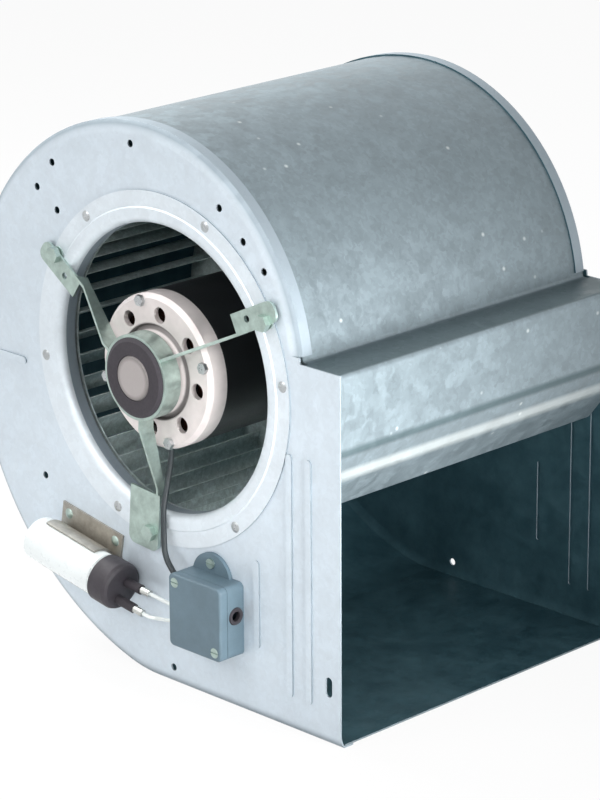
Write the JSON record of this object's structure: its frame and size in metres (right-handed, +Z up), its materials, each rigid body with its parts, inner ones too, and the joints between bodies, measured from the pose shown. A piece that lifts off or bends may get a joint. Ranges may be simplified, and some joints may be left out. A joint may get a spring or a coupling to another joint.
{
  "type": "centrifugal blower",
  "caption": "Double-inlet centrifugal fan: scroll housing of sheet steel, forward-curved wheel and a motor held in one inlet by three arms, with capacitor and terminal box.",
  "frame": {"origin": "on the ground plane, below the centre of the bounding box", "axes": "+Z up; the shaft runs along X with the motor side at -X; the outlet opens towards -Y"},
  "size_m": [0.319, 0.365, 0.39],
  "materials": {
    "galvanised_wrap": "spangled zinc, satin",
    "galvanised_side": "zinc coated, matt",
    "galvanised_wheel": "zinc coated, matt",
    "zinc_steel": "zinc plated, satin",
    "bright_steel": "ground",
    "black_lamination": "varnished black",
    "copper_winding": "varnished copper wire",
    "bronze": "sintered bronze",
    "painted_casting": "cast, satin",
    "black_rubber": "matt",
    "white_plastic": "gloss",
    "grey_plastic": "matt",
    "tinned_brass": "tinned"
  },
  "bodies": {
    "casing": {"arm_bolts": "zinc_steel", "arm_nuts": "zinc_steel", "arm_washers": "zinc_steel", "capacitor_boot": "black_rubber", "capacitor_can": "white_plastic", "capacitor_clip": "zinc_steel", "capacitor_connectors": "tinned_brass", "capacitor_leads": "white_plastic", "capacitor_sleeves": "black_rubber", "clip_rivets": "zinc_steel", "cutoff_plate": "galvanised_wrap", "inlet_ring_drive": "galvanised_side", "inlet_ring_far": "galvanised_side", "motor_arm_bottom": "zinc_steel", "motor_arm_front": "zinc_steel", "motor_arm_rear": "zinc_steel", "motor_end_shield_back": "painted_casting", "motor_end_shield_front": "painted_casting", "motor_lead": "black_rubber", "motor_sleeve_bearings": "bronze", "motor_stator": "black_lamination", "motor_through_bolts": "zinc_steel", "motor_through_nuts": "zinc_steel", "motor_windings": "copper_winding", "mount_collar": "zinc_steel", "mount_rubber_ring": "black_rubber", "ring_rivets_drive": "zinc_steel", "ring_rivets_far": "zinc_steel", "scroll_wrap": "galvanised_wrap", "side_plate_drive": "galvanised_side", "side_plate_far": "galvanised_side", "terminal_box_base": "grey_plastic", "terminal_box_ear_screw": "zinc_steel", "terminal_box_grommet": "black_rubber", "terminal_box_lid": "grey_plastic", "terminal_box_lid_screws": "zinc_steel"},
    "wheel": {"hub_rivets": "zinc_steel", "hub_set_screw": "bright_steel", "motor_rotor": "black_lamination", "motor_shaft": "bright_steel", "thrust_washers": "bright_steel", "wheel_blades_drive": "galvanised_wheel", "wheel_blades_far": "galvanised_wheel", "wheel_centre_disc": "galvanised_wheel", "wheel_end_ring_drive": "galvanised_wheel", "wheel_end_ring_far": "galvanised_wheel", "wheel_hub": "zinc_steel"}
  },
  "joints": [
    {"name": "wheel_spin", "type": "hinge", "parent": "casing", "child": "wheel", "pos_m": [0.0163, -0.0155, 0.224], "axis": [-1, 0, 0], "continuous": true}
  ]
}
